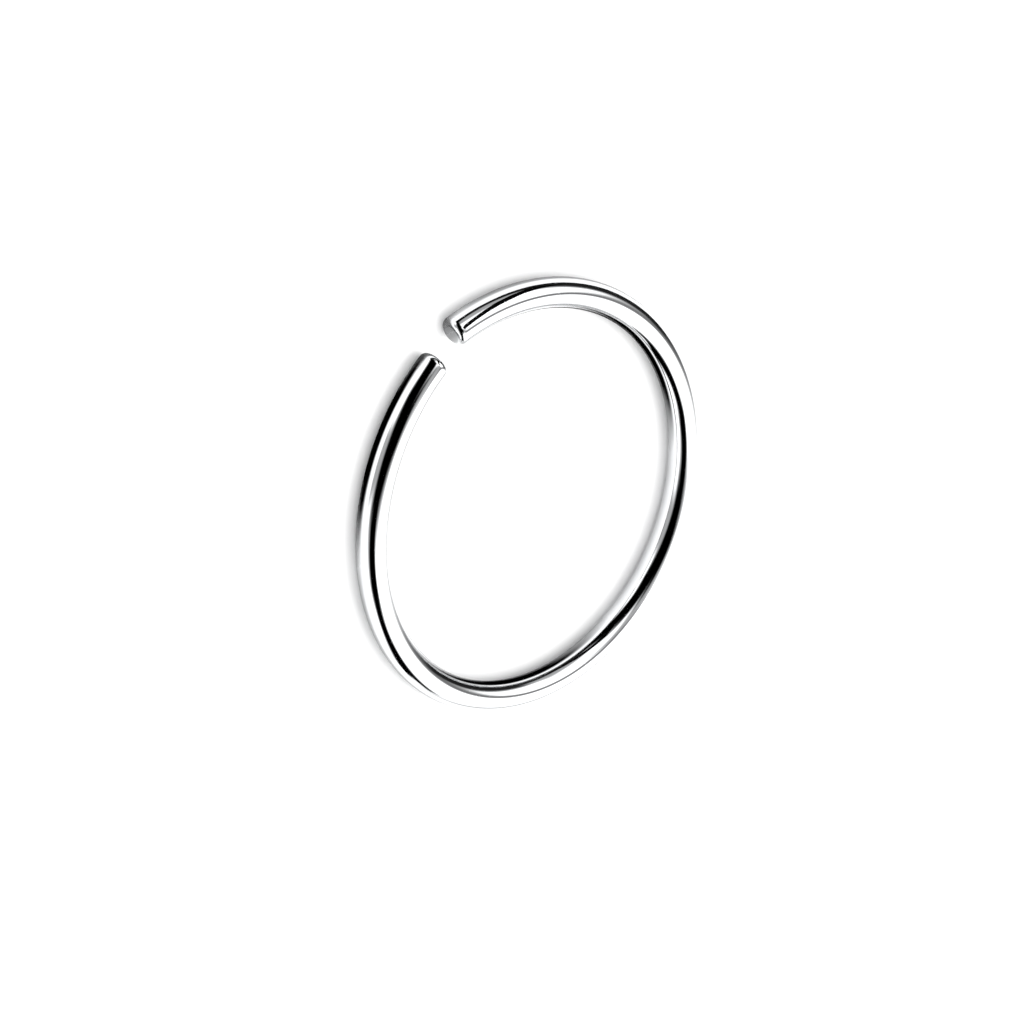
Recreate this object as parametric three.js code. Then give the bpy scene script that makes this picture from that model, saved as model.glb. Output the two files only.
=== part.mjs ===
// Nose ring: a plain open hoop, made of one length of round polished wire.
// Both ends are cut square and rounded over, and the hoop is sprung slightly open,
// so that each arm is bent a little wider than the closed side.
// It lies flat on its side, with the gap towards +X. Millimetres, +Z up.
import * as THREE from 'three';

// The wire
const wireDiameter = 0.8; // 20 gauge, measured across the flats of the faceted section
const endRounding = 0.18; // radius of the rounded edge around each cut end

// The hoop: angles in degrees, counter-clockwise from the gap's direction, +X
const innerDiameter = 10;
const armAngle = 69; // where each arm leaves the evenly bent closed side
const leftArm = { bendRadius: 5.76, sweep: 61.7 }; // on the +Y side of the gap
const rightArm = { bendRadius: 6.2, sweep: 59.2 }; // on the -Y side, sprung wider

// How finely the solid is faceted
const sides = 24; // a multiple of 4, so that flats face down, up, in and out
const stepAngle = 4; // degrees of bend for each step along the wire
const edgeSteps = 4; // steps around each end's rounded edge

const fullTurn = 360;
const rightAngle = Math.PI / 2;
const toRadians = THREE.MathUtils.degToRad;
const wireRadius = wireDiameter / 2;
const hoopRadius = innerDiameter / 2 + wireRadius; // to the middle of the wire
const cornerRadius = wireRadius / Math.cos(Math.PI / sides); // to the section's corners

// One arc of the wire's centre line, from one angle to another. Its centre is on the line through
// the hoop's centre and the joint, so that neighbouring arcs meet without a kink.
function arc(radius, from, to, joint) {
  const direction = toRadians(joint);
  const shift = hoopRadius - radius;
  return {
    radius,
    start: toRadians(from),
    length: radius * toRadians(to - from),
    steps: Math.ceil((to - from) / stepAngle),
    centreX: shift * Math.cos(direction),
    centreY: shift * Math.sin(direction),
  };
}

const leftJoint = armAngle;
const rightJoint = fullTurn - armAngle;
const centreLine = [
  arc(leftArm.bendRadius, leftJoint - leftArm.sweep, leftJoint, leftJoint),
  arc(hoopRadius, leftJoint, rightJoint, leftJoint),
  arc(rightArm.bendRadius, rightJoint, rightJoint + rightArm.sweep, rightJoint),
];
const wireLength = centreLine.reduce((total, { length }) => total + length, 0);

// Distances along the wire at which the bar has a ring of corners, between its two rounded ends.
function stations() {
  const found = [];
  let travelled = 0;
  for (const { length, steps } of centreLine) {
    for (let step = 0; step < steps; step += 1) {
      found.push(travelled + (length * step) / steps);
    }
    travelled += length;
  }
  return found.filter((along) => along > endRounding && along < wireLength - endRounding);
}

// Half the outline of the straight bar, from the middle of one cut end to the middle of the other.
function barOutline() {
  const edge = [];
  for (let step = 0; step <= edgeSteps; step += 1) {
    const turn = (rightAngle * step) / edgeSteps;
    const inset = endRounding * (1 - Math.sin(turn));
    edge.push({ radius: cornerRadius - inset, along: endRounding * (1 - Math.cos(turn)) });
  }
  const farEdge = edge.toReversed();
  return [
    new THREE.Vector2(0, 0),
    ...edge.map(({ radius, along }) => new THREE.Vector2(radius, along)),
    ...stations().map((along) => new THREE.Vector2(cornerRadius, along)),
    ...farEdge.map(({ radius, along }) => new THREE.Vector2(radius, wireLength - along)),
    new THREE.Vector2(0, wireLength),
  ];
}

// The arc that a distance along the wire falls on, and the distance left over on it.
function placeOnWire(along) {
  let left = along;
  for (const piece of centreLine.slice(0, -1)) {
    if (left <= piece.length) return { piece, left };
    left -= piece.length;
  }
  return { piece: centreLine.at(-1), left };
}

// Bends the straight bar, whose length is along Y, around the centre line in the XY plane.
function bend(geometry) {
  const corners = geometry.attributes.position;
  for (let index = 0; index < corners.count; index += 1) {
    const { piece, left } = placeOnWire(corners.getY(index));
    const angle = piece.start + left / piece.radius;
    const reach = piece.radius + corners.getX(index);
    const x = piece.centreX + reach * Math.cos(angle);
    const y = piece.centreY + reach * Math.sin(angle);
    corners.setXYZ(index, x, y, corners.getZ(index));
  }
  geometry.computeVertexNormals();
  return geometry;
}

const halfSide = Math.PI / sides;
const bar = new THREE.LatheGeometry(barOutline(), sides, halfSide);
const polishedSteel = new THREE.MeshStandardMaterial({
  color: 0xc9cbce,
  roughness: 0.12,
  metalness: 1,
});

const hoop = new THREE.Mesh(bend(bar), polishedSteel);
hoop.name = 'hoop';

// The origin is under the middle of the hoop's box, on the surface that it lies on.
hoop.geometry.computeBoundingBox();
const box = hoop.geometry.boundingBox;
const middle = box.getCenter(new THREE.Vector3());
hoop.position.set(-middle.x, -middle.y, -box.min.z);

const noseRing = new THREE.Group();
noseRing.name = 'nose_ring';
noseRing.add(hoop);

export default noseRing;
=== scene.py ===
# %% [markdown]
# # A plain open nose ring, finished in Blender
# The ring is one length of round stainless steel wire, 0.8 mm thick, bent into a hoop that
# stays slightly open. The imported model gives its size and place, and this lesson gives it a
# smooth surface and a polished finish. All lengths in the scene are in metres.

# %% Load the frame
import math

import bmesh
import bpy
from mathutils import Matrix, Quaternion, Vector


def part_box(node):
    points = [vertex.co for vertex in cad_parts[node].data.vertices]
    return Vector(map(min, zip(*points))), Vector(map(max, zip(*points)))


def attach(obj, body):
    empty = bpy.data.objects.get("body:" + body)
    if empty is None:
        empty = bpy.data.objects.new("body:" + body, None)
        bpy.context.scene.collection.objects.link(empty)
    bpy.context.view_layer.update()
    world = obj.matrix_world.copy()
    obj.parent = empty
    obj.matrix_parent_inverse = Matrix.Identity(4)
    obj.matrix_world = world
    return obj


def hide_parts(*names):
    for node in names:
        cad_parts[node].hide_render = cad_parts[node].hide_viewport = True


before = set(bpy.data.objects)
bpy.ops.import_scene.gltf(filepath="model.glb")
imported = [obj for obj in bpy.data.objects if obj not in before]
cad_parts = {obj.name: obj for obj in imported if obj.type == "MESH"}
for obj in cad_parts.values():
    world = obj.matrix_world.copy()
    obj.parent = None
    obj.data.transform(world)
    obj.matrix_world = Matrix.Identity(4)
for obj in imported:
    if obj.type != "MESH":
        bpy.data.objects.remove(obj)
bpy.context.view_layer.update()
MM = 0.001
hoop_low, hoop_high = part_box("hoop")
print("hoop size, mm:", [round(side / MM, 3) for side in hoop_high - hoop_low])

# %% [markdown]
# ## The wire's centre line
# A real hoop is bent round a rod, which leaves the closed side evenly round, and is then
# sprung open, so that both arms end up a little wider. The centre line is therefore three
# arcs that meet without a kink: the left arm, the closed side and the right arm. Angles are
# in degrees, counter-clockwise from the gap, which is towards +X. The wire's thickness comes
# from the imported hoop's height, and the rest are the hoop's own bending dimensions.

# %% Bending dimensions
WIRE_RADIUS = (hoop_high.z - hoop_low.z) / 2
HOOP_RADIUS = 5.4 * MM
ARM_ANGLE = 69
LEFT_ARM_RADIUS, LEFT_ARM_SWEEP = 5.76 * MM, 61.7
RIGHT_ARM_RADIUS, RIGHT_ARM_SWEEP = 6.2 * MM, 59.2
END_ROUNDING = 0.18 * MM

# The closed side reaches furthest towards -X, which places the hoop's centre.
HOOP_CENTRE = Vector((hoop_low.x + HOOP_RADIUS + WIRE_RADIUS, 0, WIRE_RADIUS))
print("hoop centre, mm:", [round(value / MM, 3) for value in HOOP_CENTRE])

# %% Three arcs
def along_angle(degrees, distance=1.0):
    """A point that far from the hoop's axis, in the direction of an angle round it."""
    turn = math.radians(degrees)
    return Vector((math.cos(turn), math.sin(turn), 0)) * distance


def make_arc(radius, start, sweep, joint):
    """One arc of the centre line. Its centre is in line with the hoop's centre and the joint."""
    centre = HOOP_CENTRE + along_angle(joint, HOOP_RADIUS - radius)
    return {"centre": centre, "radius": radius, "start": start, "sweep": sweep}


ARCS = [
    make_arc(LEFT_ARM_RADIUS, ARM_ANGLE - LEFT_ARM_SWEEP, LEFT_ARM_SWEEP, ARM_ANGLE),
    make_arc(HOOP_RADIUS, ARM_ANGLE, 360 - 2 * ARM_ANGLE, ARM_ANGLE),
    make_arc(RIGHT_ARM_RADIUS, -ARM_ANGLE, RIGHT_ARM_SWEEP, -ARM_ANGLE),
]
for arc in ARCS:
    arc["length"] = arc["radius"] * math.radians(arc["sweep"])
WIRE_LENGTH = sum(arc["length"] for arc in ARCS)
print("wire length, mm:", round(WIRE_LENGTH / MM, 2))

# %% [markdown]
# ## The wire itself
# The section is a circle, and a spin carries it round each arc in turn. A curve with a round
# bevel would be quicker, but its ends would be flat discs with a sharp rim, while the real
# wire's cut ends are rounded over. Here each end is a longer first step of the spin, so that
# a bevel has room to round its rim.

# %% Spin the wire
SECTION_SIDES = 72
STEP_LENGTH = 0.06 * MM
END_STEP = 0.25 * MM
ROUNDING_SEGMENTS = 10
MERGE_DISTANCE = 0.0005 * MM
print("steps along the wire:", math.ceil(WIRE_LENGTH / STEP_LENGTH))


def spin_on(bm, edges, arc, length, steps):
    """Carries an open ring of edges on round an arc, and returns the ring it ends on."""
    result = bmesh.ops.spin(
        bm,
        geom=edges,
        cent=arc["centre"],
        axis=(0, 0, 1),
        angle=length / arc["radius"],
        steps=steps,
        use_merge=False,
        use_duplicate=False,
    )
    return [part for part in result["geom_last"] if isinstance(part, bmesh.types.BMEdge)]


# %% The three arcs in one wire
def spin_wire(bm):
    """The whole wire, from the left arm's end to the right arm's. Returns its two end rings."""
    first = ARCS[0]
    place = (
        Matrix.Translation(first["centre"] + along_angle(first["start"], first["radius"]))
        @ Matrix.Rotation(math.radians(first["start"]), 4, "Z")
        @ Matrix.Rotation(math.radians(90), 4, "X")
    )
    bmesh.ops.create_circle(bm, segments=SECTION_SIDES, radius=WIRE_RADIUS, matrix=place)
    ring = start_ring = bm.edges[:]
    for arc in ARCS:
        length = arc["length"]
        if arc is ARCS[0]:
            ring = spin_on(bm, ring, arc, END_STEP, 1)
            length -= END_STEP
        if arc is ARCS[-1]:
            length -= END_STEP
        ring = spin_on(bm, ring, arc, length, math.ceil(length / STEP_LENGTH))
        if arc is ARCS[-1]:
            ring = spin_on(bm, ring, arc, END_STEP, 1)
    return start_ring, ring


# %% Rounded ends
def close_end(bm, ring):
    """Fills one end with a flat face and rounds its rim."""
    bmesh.ops.edgeloop_fill(bm, edges=ring)
    bmesh.ops.bevel(
        bm,
        geom=ring,
        offset=END_ROUNDING,
        offset_type="OFFSET",
        segments=ROUNDING_SEGMENTS,
        profile=0.5,
        affect="EDGES",
        material=-1,
    )


# %% Build the wire
def add_object(name, bm):
    """Turns a bmesh into an object that sits at the origin, with its place in its mesh."""
    mesh = bpy.data.meshes.new(name)
    bm.to_mesh(mesh)
    bm.free()
    made = bpy.data.objects.new(name, mesh)
    bpy.context.scene.collection.objects.link(made)
    print(name, "faces:", len(mesh.polygons))
    return made


bm = bmesh.new()
for ring in spin_wire(bm):
    close_end(bm, ring)
bmesh.ops.remove_doubles(bm, verts=bm.verts, dist=MERGE_DISTANCE)
bmesh.ops.recalc_face_normals(bm, faces=bm.faces)
for face in bm.faces:
    face.smooth = True
polished_hoop = add_object("polished_hoop", bm)

# %% [markdown]
# ## Coordinates that follow the wire
# Polishing and drawing marks run along the wire, so the finish needs to know where a point is
# along it. Object coordinates would run straight through the bend. Instead each point stores
# where it would be if the wire were straightened: its distance along the wire and its place
# in the round section, both in millimetres. This has no seam, as a flat map would.

# %% Straightened coordinates
def straightened(point):
    """Distance along the wire, then outwards and upwards in its section, in millimetres."""
    flat = point - HOOP_CENTRE
    height = flat.z
    bearing = math.degrees(math.atan2(flat.y, flat.x))
    if 0 <= bearing < ARM_ANGLE:
        arc, before = ARCS[0], 0
    elif -ARM_ANGLE < bearing < 0:
        arc, before = ARCS[2], ARCS[0]["length"] + ARCS[1]["length"]
    else:
        arc, before = ARCS[1], ARCS[0]["length"]
    spoke = point - arc["centre"]
    turn = math.degrees(math.atan2(spoke.y, spoke.x)) - arc["start"]
    turn = (turn + 180) % 360 - 180 if arc is not ARCS[1] else turn % 360
    along = before + math.radians(turn) * arc["radius"]
    outwards = math.hypot(spoke.x, spoke.y) - arc["radius"]
    return Vector((along, outwards, height)) / MM


wire_place = polished_hoop.data.attributes.new("wire_place", "FLOAT_VECTOR", "POINT")
for vertex, place in zip(polished_hoop.data.vertices, wire_place.data):
    place.vector = straightened(vertex.co)
print("distance along the wire, mm:", round(max(place.vector.x for place in wire_place.data), 2))

# %% [markdown]
# ## Tools for materials
# A material is a small net of nodes. One function adds a node with its settings and links,
# and a few short ones stand for what a finish is made of: a colour, a range of values turned
# into another, and two values joined into one. Colours are written as sRGB hex, as on a
# screen, and are turned to linear values once, here.

# %% Colour
def linear(hex_colour):
    """A linear colour with alpha from an sRGB hex string."""
    channels = [int(hex_colour[index : index + 2], 16) / 255 for index in (1, 3, 5)]
    return (*(c / 12.92 if c <= 0.04045 else ((c + 0.055) / 1.055) ** 2.4 for c in channels), 1)


print("middle grey, linear:", round(linear("#808080")[0], 3))

# %% Nodes
def fill(material, socket, value):
    """Links an output to a socket, or sets the socket to a plain value."""
    if isinstance(value, bpy.types.NodeSocket):
        material.node_tree.links.new(value, socket)
    else:
        socket.default_value = value


def add_node(material, kind, settings=None, **inputs):
    """Adds a node. Its inputs are named with _ for each space."""
    node = material.node_tree.nodes.new(kind)
    for name, value in (settings or {}).items():
        setattr(node, name, value)
    for name, value in inputs.items():
        fill(material, node.inputs[name.replace("_", " ")], value)
    return node


def new_material(name):
    """An empty material, and its output node."""
    material = bpy.data.materials.new(name)
    material.use_nodes = True
    material.node_tree.nodes.clear()
    print("material:", name)
    return material, add_node(material, "ShaderNodeOutputMaterial")


# %% Values
def ramp(material, value, low, high, to_low, to_high):
    """Maps a range of values smoothly onto another."""
    node = add_node(
        material,
        "ShaderNodeMapRange",
        {"interpolation_type": "SMOOTHSTEP"},
        Value=value,
        From_Min=low,
        From_Max=high,
        To_Min=to_low,
        To_Max=to_high,
    )
    return node.outputs["Result"]


def combine(material, operation, first, second=0):
    """Two values joined by a Math operation. An operation on one value leaves the second out."""
    node = add_node(material, "ShaderNodeMath", {"operation": operation})
    fill(material, node.inputs[0], first)
    fill(material, node.inputs[1], second)
    return node.outputs["Value"]


# %% [markdown]
# ## Polished stainless steel
# The wire is 316L surgical steel, drawn through a die and then tumbled until it shines like a
# mirror. Bare steel is a neutral silver-grey. What makes it read as metal and not chrome
# plate is that the polish is not perfect: faint lines from the die run along the wire, the
# tumbling leaves hair scratches in all directions, and the shine is duller in patches. The
# lines are noise drawn out along one axis of the straightened wire, which costs no faces.

# %% Marks in the polish
DIE_LINE_SPACING = 0.06  # mm; real lines are about 0.01 mm apart, too fine to show
DIE_LINE_STRETCH = 60  # how many times longer than wide
SCRATCH_SPACING = 0.05  # mm; real scratches are about 0.005 mm wide, too fine to show
SCRATCH_STRETCH = 40
SCRATCH_TURNS = ((0, 0, 0.6), (0.9, 0, -0.9), (0, 1.1, 1.5))  # radians off the wire's line
SCRATCH_RANGE = (0.68, 0.74)  # only the peaks of the noise become scratches
wire_girth = 2 * math.pi * WIRE_RADIUS / MM
print("die lines round the wire:", round(wire_girth / DIE_LINE_SPACING))


def streaks(material, place, spacing, stretch, turn):
    """Noise drawn out into lines along the turned X axis. Spacing is in the units of place."""
    lines = add_node(
        material,
        "ShaderNodeMapping",
        {"vector_type": "TEXTURE"},
        Vector=place,
        Rotation=turn,
        Scale=(stretch, 1, 1),
    )
    noise = add_node(
        material,
        "ShaderNodeTexNoise",
        Vector=lines.outputs["Vector"],
        Scale=1 / spacing,
        Detail=2.0,
        Roughness=0.6,
    )
    return noise.outputs["Fac"]


def hair_scratches(material, place):
    """Near 1 on a fine scratch and 0 between scratches."""
    hairs = 0
    for turn in SCRATCH_TURNS:
        strand = streaks(material, place, SCRATCH_SPACING, SCRATCH_STRETCH, turn)
        hairs = combine(material, "ADD", hairs, ramp(material, strand, *SCRATCH_RANGE, 0, 1))
    return hairs


# %% Patches and cut ends
PATCH_SIZE = 1.5  # mm
CUT_END_REACH = (0.02, END_ROUNDING / MM)  # mm from the end face


def dull_patches(material, place):
    """Soft cloudy noise, for where the tumbling shone the wire less."""
    clouds = add_node(
        material, "ShaderNodeTexNoise", Vector=place, Scale=1 / PATCH_SIZE, Detail=3.0
    )
    return clouds.outputs["Fac"]


def cut_ends(material, place):
    """1 on the two end faces and 0 once past their rounding."""
    parts = add_node(material, "ShaderNodeSeparateXYZ", Vector=place)
    half_length = WIRE_LENGTH / MM / 2
    from_middle = combine(material, "SUBTRACT", parts.outputs["X"], half_length)
    past_middle = combine(material, "ABSOLUTE", from_middle)
    from_end = combine(material, "SUBTRACT", half_length, past_middle)
    return ramp(material, from_end, *CUT_END_REACH, 1, 0)


# %% Steel
STEEL_TINTS = ("#D0D1D3", "#DEDFE0")  # between duller and brighter patches
PATCH_RANGE = (0.35, 0.65)
POLISH_ROUGHNESS = (0.045, 0.075)
SCRATCH_ROUGHNESS = 0.05
CUT_ROUGHNESS = 0.08
SCRATCH_DEPTH = 0.5  # beside a die line's height of 1
MARK_HEIGHT = 0.0006 * MM


def steel_tint(material, patches):
    """The two tints of steel, mixed by the patches."""
    mix = add_node(material, "ShaderNodeMix", {"data_type": "RGBA"}, Factor=patches)
    tint_sockets = [socket for socket in mix.inputs if socket.type == "RGBA"]
    for socket, tint in zip(tint_sockets, STEEL_TINTS):
        socket.default_value = linear(tint)
    return [socket for socket in mix.outputs if socket.type == "RGBA"][0]


def polished_steel():
    """Mirror-polished 316L wire with die lines, hair scratches and duller cut ends."""
    material, output = new_material("polished_316l_steel")
    place = add_node(
        material,
        "ShaderNodeAttribute",
        {"attribute_name": "wire_place", "attribute_type": "GEOMETRY"},
    ).outputs["Vector"]
    die_lines = streaks(material, place, DIE_LINE_SPACING, DIE_LINE_STRETCH, (0, 0, 0))
    hairs = hair_scratches(material, place)
    patches = dull_patches(material, place)

    roughness = ramp(material, patches, *PATCH_RANGE, *POLISH_ROUGHNESS)
    for mask, amount in ((hairs, SCRATCH_ROUGHNESS), (cut_ends(material, place), CUT_ROUGHNESS)):
        extra = combine(material, "MULTIPLY", mask, amount)
        roughness = combine(material, "ADD", roughness, extra)
    grooves = combine(material, "MULTIPLY", hairs, SCRATCH_DEPTH)
    height = combine(material, "SUBTRACT", die_lines, grooves)
    relief = add_node(
        material, "ShaderNodeBump", Height=height, Strength=1.0, Distance=MARK_HEIGHT
    )
    shader = add_node(
        material,
        "ShaderNodeBsdfPrincipled",
        Base_Color=steel_tint(material, patches),
        Metallic=1.0,
        Roughness=roughness,
        Normal=relief.outputs["Normal"],
    )
    fill(material, output.inputs["Surface"], shader.outputs["BSDF"])
    return material


# %% Finish the wire
polished_hoop.data.materials.append(polished_steel())
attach(polished_hoop, "root")
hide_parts("hoop")
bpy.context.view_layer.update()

# %% [markdown]
# ## Camera
# The hoop lies on its side, because a loose ring doesn't stand up. Seen from above the gap's
# side, with the camera rolled by about a third of a turn, it looks as if it stood on its edge
# with the gap at the upper left. A long lens from ten centimetres away keeps the round wire
# free of distortion, as a close-up lens for jewellery does.

# %% Camera
CAMERA_AZIMUTH, CAMERA_ELEVATION, CAMERA_ROLL = 27.0, 43.77, 113.3
CAMERA_DISTANCE = 102.1 * MM
CAMERA_NEAREST, CAMERA_FURTHEST = 1 * MM, 10.0
LENS = 140.9  # focal length in mm
AIM_OFFSET = Vector((-0.71, -0.19, 0)) * MM


def direction(azimuth, elevation):
    """A unit vector, from degrees round from the gap and degrees above the floor."""
    flat = along_angle(azimuth, math.cos(math.radians(elevation)))
    return flat + Vector((0, 0, math.sin(math.radians(elevation))))


to_camera = direction(CAMERA_AZIMUTH, CAMERA_ELEVATION)
roll = Quaternion((0, 0, 1), math.radians(CAMERA_ROLL))
camera_turn = to_camera.to_track_quat("Z", "Y") @ roll
camera = bpy.data.objects.new("camera", bpy.data.cameras.new("camera"))
camera.data.lens = LENS
camera.data.clip_start = CAMERA_NEAREST
camera.data.clip_end = CAMERA_FURTHEST
camera.rotation_mode = "QUATERNION"
camera.rotation_quaternion = camera_turn
camera.location = HOOP_CENTRE + camera_turn @ AIM_OFFSET + to_camera * CAMERA_DISTANCE
bpy.context.scene.collection.objects.link(camera)
bpy.context.scene.camera = camera
print("camera height, mm:", round(camera.location.z / MM, 1))

# %% [markdown]
# ## White board and soft light
# The hoop lies on a matt white board under one large softbox and an evenly white room. The
# board is lit until it is pure white, so the hoop keeps only a faint shadow where it touches.
# The softbox lights the board but doesn't show in the wire: what the wire mirrors is built
# apart, in the next steps, since a polished wire shows its surroundings and little else.

# %% White board
FLOOR_SIDE = 4.0
BOARD_WHITE = "#F4F4F4"
BOARD_ROUGHNESS = 0.9
bm = bmesh.new()
bmesh.ops.create_grid(bm, x_segments=1, y_segments=1, size=FLOOR_SIDE / 2)
floor = add_object("floor", bm)
material, output = new_material("matt_white_board")
shader = add_node(
    material,
    "ShaderNodeBsdfPrincipled",
    Base_Color=linear(BOARD_WHITE),
    Roughness=BOARD_ROUGHNESS,
)
fill(material, output.inputs["Surface"], shader.outputs["BSDF"])
floor.data.materials.append(material)

# %% Softbox and room
SOFTBOX_AZIMUTH, SOFTBOX_ELEVATION = 215, 50
SOFTBOX_DISTANCE = 0.5
SOFTBOX_WIDTH = 0.7
SOFTBOX_POWER = 2.0  # watts
ROOM_LIGHT = 1.4
softbox_turn = direction(SOFTBOX_AZIMUTH, SOFTBOX_ELEVATION).to_track_quat("Z", "Y")
lamp = bpy.data.lights.new("softbox", "AREA")
lamp.shape = "DISK"
lamp.size = SOFTBOX_WIDTH
lamp.energy = SOFTBOX_POWER
softbox = bpy.data.objects.new("softbox", lamp)
softbox.location = HOOP_CENTRE + softbox_turn @ Vector((0, 0, SOFTBOX_DISTANCE))
softbox.rotation_mode = "QUATERNION"
softbox.rotation_quaternion = softbox_turn
softbox.visible_glossy = False
softbox.visible_camera = False
bpy.context.scene.collection.objects.link(softbox)

world = bpy.data.worlds.new("studio")
world.use_nodes = True
room = world.node_tree.nodes["Background"]
room.inputs["Color"].default_value = linear("#FFFFFF")
room.inputs["Strength"].default_value = ROOM_LIGHT
bpy.context.scene.world = world
bpy.context.scene.view_settings.view_transform = "Standard"
print("softbox height, mm:", round(softbox.location.z / MM))

# %% [markdown]
# ## Light tent
# Polished wire is lit through a tent of white cloth: the bright panels of the tent become the
# broad white bands along the wire, and black cards become the dark lines between them, which
# give the wire its roundness. Real panels and cards would need many objects, so the tent is
# one big ball whose glow is worked out from the direction: each panel is a rectangle of
# directions with soft edges. The tent shows in reflections only and casts no light.

# %% Panels of the tent
TENT_RADIUS = 0.6
CLOTH_GLOW = 0.55
# Azimuth and elevation of each panel's middle, half its width and height, and half its soft
# edge, all in degrees, and then its glow. The low cards are black.
PANEL_COLUMNS = ("name", "azimuth", "elevation", "width", "height", "edge", "glow")
PANELS = [
    ("key", 180, 42, 38, 33, 8, 2.3),
    ("second", 266, 46, 17, 17, 6, 2.3),
    ("third", 308, 52, 15, 18, 6, 2.0),
    ("low_left", 100, 6, 40, 16, 8, 2.0),
    ("low_front", 0, 3, 26, 13, 6, 1.8),
    ("seam", 231, 38, 6, 34, 4, 0.25),
    ("low_card_left", 256, 4, 24, 20, 5, 0.02),
    ("low_card", 300, 1, 36, 14, 3, 0.02),
]
# The black cloth round the lens, in pieces: degrees to the right of the lens and up from it.
LENS_CLOTH_COLUMNS = ("name", "right", "up", "width", "height", "edge")
LENS_CLOTH = [
    ("arch", 8, -20, 14, 88, 5),
    ("head", 8, -2, 26, 30, 7),
    ("shoulder", 27, -16, 18, 12, 6),
    ("waist", 5, -46, 19, 18, 7),
    ("crown", 6, 36, 17, 14, 6),
]


def rows(columns, table):
    """A table's rows, each as a dictionary by column."""
    return [dict(zip(columns, row)) for row in table]


print("panels:", [panel["name"] for panel in rows(PANEL_COLUMNS, PANELS)])


# %% One panel
def panel_mask(material, away, turn, panel):
    """1 inside a soft-edged rectangle of directions about the turn's +Z, and 0 outside."""
    local = add_node(
        material,
        "ShaderNodeMapping",
        {"vector_type": "TEXTURE"},
        Vector=away,
        Rotation=turn.to_euler(),
    )
    parts = add_node(material, "ShaderNodeSeparateXYZ", Vector=local.outputs["Vector"])
    mask = combine(material, "GREATER_THAN", parts.outputs["Z"], 0)
    for axis, half in (("X", panel["width"]), ("Y", panel["height"])):
        aside = combine(material, "ABSOLUTE", parts.outputs[axis])
        inner = math.sin(math.radians(half - panel["edge"]))
        outer = math.sin(math.radians(min(half + panel["edge"], 90)))
        mask = combine(material, "MULTIPLY", mask, ramp(material, aside, inner, outer, 1, 0))
    return mask


def add_panel(material, glow_so_far, mask, glow):
    """Lays a panel over the glow that the earlier panels left."""
    mix = add_node(
        material, "ShaderNodeMix", {"data_type": "FLOAT"}, Factor=mask, A=glow_so_far, B=glow
    )
    return mix.outputs["Result"]


# %% Tent cloth
def tent_cloth():
    """White cloth that glows in panels, with black cloth round the lens."""
    material, output = new_material("lit_tent_cloth")
    outwards = add_node(material, "ShaderNodeTexCoord").outputs["Object"]
    away = add_node(
        material, "ShaderNodeVectorMath", {"operation": "NORMALIZE"}, Vector=outwards
    ).outputs["Vector"]
    glow = CLOTH_GLOW
    for panel in rows(PANEL_COLUMNS, PANELS):
        turn = direction(panel["azimuth"], panel["elevation"]).to_track_quat("Z", "Y")
        glow = add_panel(material, glow, panel_mask(material, away, turn, panel), panel["glow"])
    for card in rows(LENS_CLOTH_COLUMNS, LENS_CLOTH):
        aside = Quaternion((0, 1, 0), math.radians(card["right"]))
        tilt = Quaternion((1, 0, 0), math.radians(-card["up"]))
        turn = camera_turn @ tilt @ aside
        glow = add_panel(material, glow, panel_mask(material, away, turn, card), 0.0)
    shine = add_node(material, "ShaderNodeEmission", Strength=glow)
    fill(material, output.inputs["Surface"], shine.outputs["Emission"])
    material.cycles.emission_sampling = "NONE"
    return material


# %% Tent
def show_in_reflections_only(thing):
    """Hides a studio piece from the camera and from the light, but not from the wire."""
    thing.visible_camera = False
    thing.visible_diffuse = False
    thing.visible_shadow = False


bm = bmesh.new()
bmesh.ops.create_uvsphere(
    bm, u_segments=64, v_segments=32, radius=TENT_RADIUS, matrix=Matrix.Translation(HOOP_CENTRE)
)
tent = add_object("light_tent", bm)
tent.data.materials.append(tent_cloth())
show_in_reflections_only(tent)

# %% [markdown]
# ## A sliver of black card
# The thin black line that starts at the right arm's tip needs a narrow dark thing close by,
# because far things in the tent make wide, slow bands on an arm this short. In a studio that
# is a sliver of black card on a stand. This one is a bent strip: an edge extruded from stop to
# stop, about a centimetre and a half from the arm.

# %% Sliver of black card
SLIVER_STOPS = [(7.0, -17.3, 3.5), (9.8, -13.9, 7.9), (9.4, -9.7, 11.7), (7.6, -6.6, 14.0)]  # mm
SLIVER_WIDTH = 4.4 * MM
SLIVER_AIM = -20  # degrees; the place on the hoop that the strip faces


def bent_strip(stops, aim, width):
    """A strip through the stops, turned to face a point."""
    across = (stops[-1] - stops[0]).cross(aim - stops[1]).normalized() * width / 2
    bm = bmesh.new()
    edge = bm.edges.new([bm.verts.new(stops[0] + across), bm.verts.new(stops[0] - across)])
    for here, there in zip(stops, stops[1:]):
        grown = bmesh.ops.extrude_edge_only(bm, edges=[edge])["geom"]
        corners = [part for part in grown if isinstance(part, bmesh.types.BMVert)]
        edge = [part for part in grown if isinstance(part, bmesh.types.BMEdge)][0]
        bmesh.ops.translate(bm, vec=there - here, verts=corners)
    return bm


def black_card():
    """Matt black card, which throws back almost nothing."""
    material, output = new_material("black_card")
    shader = add_node(
        material,
        "ShaderNodeBsdfPrincipled",
        Base_Color=linear("#050505"),
        Roughness=1.0,
        Specular_IOR_Level=0.0,
    )
    fill(material, output.inputs["Surface"], shader.outputs["BSDF"])
    return material


aim = HOOP_CENTRE + along_angle(SLIVER_AIM, HOOP_RADIUS)
stops = [Vector(stop) * MM for stop in SLIVER_STOPS]
sliver = add_object("black_card_sliver", bent_strip(stops, aim, SLIVER_WIDTH))
sliver.data.materials.append(black_card())
show_in_reflections_only(sliver)

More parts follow.
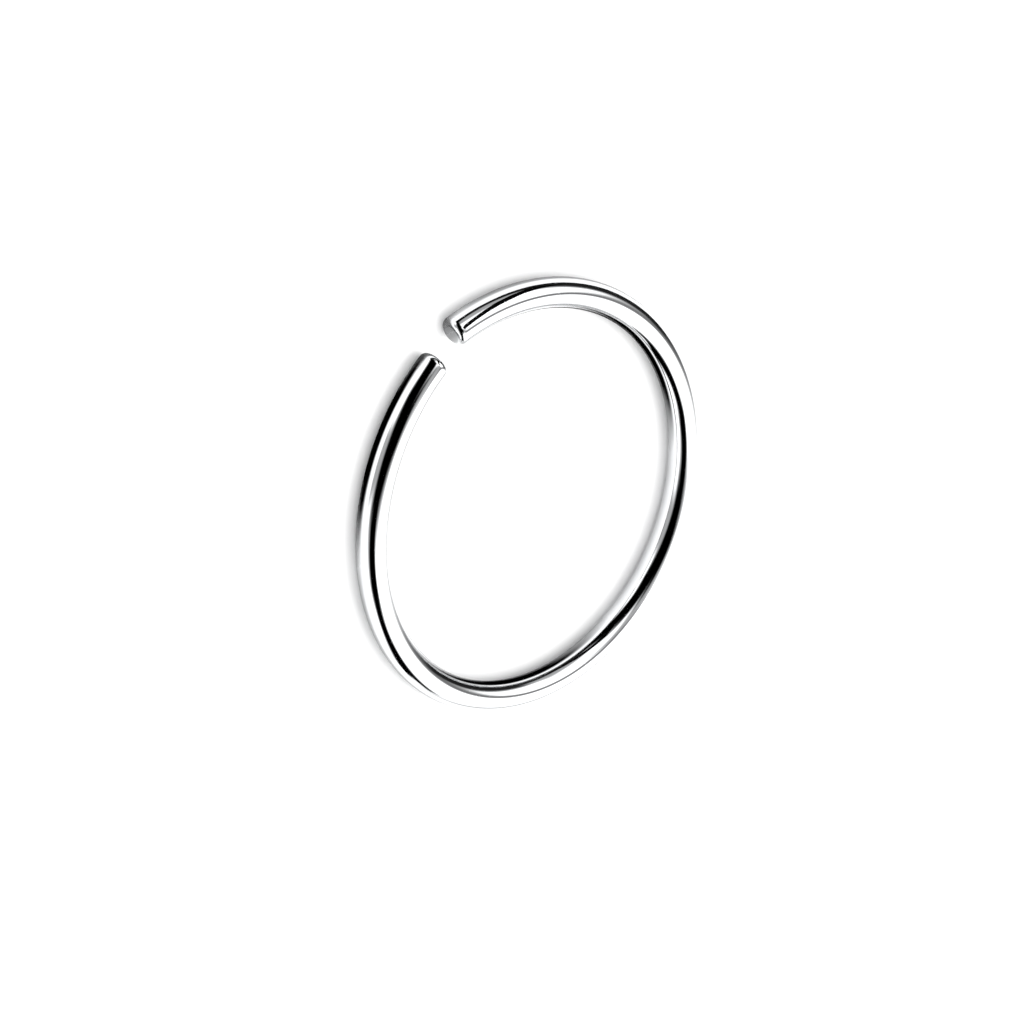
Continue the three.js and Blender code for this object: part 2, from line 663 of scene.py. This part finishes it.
# %% [markdown]
# ## Painted shade on the table, seen only in the wire
# The lower sides of the wire mirror the table, and on a pure white table they would vanish
# against it. Bands of painted black shade laid along the wire give those sides their dark edges.
# The camera and the light pass through them, and only the wire's reflections show them: they
# stand in for shade beside the wire, on a table that the camera sees white. Each band is a row
# of points spun round one of the wire's arcs, and an attribute says how dark the painted shade
# is: it thins out towards the band's edges, so that the dark line ends softly.

# %% Bands of painted shade
# The arc that a band follows, its start and end in degrees, its inner and outer edge in mm
# from the wire's centre line, and the strength of its painted shade at most.
SHADE_BAND_COLUMNS = ("name", "arc", "start", "end", "inner", "outer", "shade_strength")
# Painted shade: black bands that only the wire's reflections show, beside the wire on the white
# table.
SHADE_BANDS = [
    ("left_arm", 0, -4, 64, 0.0, 1.2, 1.0),
    ("far_inside", 1, 112, 184, -1.95, -0.05, 1.0),
    ("near_inside", 1, 236, 300, -2.1, -0.05, 1.0),
    ("under_wire", 1, 200, 250, -0.1, 1.3, 0.8),
    ("right_arm", 2, -88, -4, 0.0, 1.0, 0.6),
    ("right_tip", 2, -15, 3, -0.9, 1.3, 0.62),
    ("right_arm_inside", 2, -84, -14, -1.1, 0.35, 1.0),
    ("left_arm_inside", 0, 10, 120, -1.1, 0.35, 0.85),
    ("hollow", 1, -60, 90, -4.4, -0.6, 0.45),
    ("closed_outside", 1, 50, 160, 0.0, 0.8, 0.4),
    ("far_outside", 1, 190, 300, 0.2, 1.0, 0.4),
]
SHADE_BAND_STEPS, SHADE_BAND_ROWS = 32, 8
SHADE_BAND_LAYER = 0.01 * MM  # each band lies this much above the last
SHADE_BAND_FULLNESS = 1.6  # above 1, the painted shade is at its darkest in a wider middle
print("bands of net:", len(SHADE_BANDS))


def shade_band_mesh(band, height):
    """A flat band along an arc of the wire, as a bmesh."""
    arc = ARCS[band["arc"]]
    bm = bmesh.new()
    ends = []
    for offset in (band["inner"], band["outer"]):
        point = arc["centre"] + along_angle(band["start"], arc["radius"] + offset * MM)
        ends.append(bm.verts.new((point.x, point.y, height)))
    row = bm.edges.new(ends)
    bmesh.ops.subdivide_edges(bm, edges=[row], cuts=SHADE_BAND_ROWS - 1)
    sweep = math.radians(band["end"] - band["start"])
    spin_on(bm, bm.edges[:], arc, sweep * arc["radius"], SHADE_BAND_STEPS)
    return bm


def painted_shade_strength(band, point):
    """Painted shade darkest in the middle of the band, and nothing at its edges."""
    arc = ARCS[band["arc"]]
    spoke = point - arc["centre"]
    offset = (math.hypot(spoke.x, spoke.y) - arc["radius"]) / MM
    across = (offset - band["inner"]) / (band["outer"] - band["inner"])
    turn = math.degrees(math.atan2(spoke.y, spoke.x)) - band["start"]
    along = ((turn + 180) % 360 - 180) / (band["end"] - band["start"])
    fade = math.sin(math.pi * across) * math.sin(math.pi * along)
    return band["shade_strength"] * min(1, max(0, SHADE_BAND_FULLNESS * fade))


# %% Painted shade for the reflections
def painted_reflected_shade():
    """Painted black shade for the wire's reflections, as strong as its points say, clear
    elsewhere.
    """
    material, output = new_material("painted_reflected_shade")
    shade_strength = add_node(
        material,
        "ShaderNodeAttribute",
        {"attribute_name": "painted_shade_amount", "attribute_type": "GEOMETRY"},
    )
    # Painted shade: black that gives no light, mixed with see-through by the painted amount.
    see_through = add_node(material, "ShaderNodeBsdfTransparent")
    painted_black = add_node(material, "ShaderNodeEmission", Strength=0.0)
    mix = add_node(material, "ShaderNodeMixShader", Fac=shade_strength.outputs["Fac"])
    fill(material, mix.inputs[1], see_through.outputs["BSDF"])
    fill(material, mix.inputs[2], painted_black.outputs["Emission"])
    fill(material, output.inputs["Surface"], mix.outputs["Shader"])
    return material


# Painted shade: each band is a sheet of painted black that only the wire mirrors.
reflected_shade = painted_reflected_shade()
for layer, band in enumerate(rows(SHADE_BAND_COLUMNS, SHADE_BANDS), start=1):
    painted_floor_shade = add_object("painted_floor_shade_" + band["name"], shade_band_mesh(band, layer * SHADE_BAND_LAYER))
    painted_shade_amount = painted_floor_shade.data.attributes.new("painted_shade_amount", "FLOAT", "POINT")
    for vertex, amount in zip(painted_floor_shade.data.vertices, painted_shade_amount.data):
        amount.value = painted_shade_strength(band, vertex.co)
    painted_floor_shade.data.materials.append(reflected_shade)
    show_in_reflections_only(painted_floor_shade)
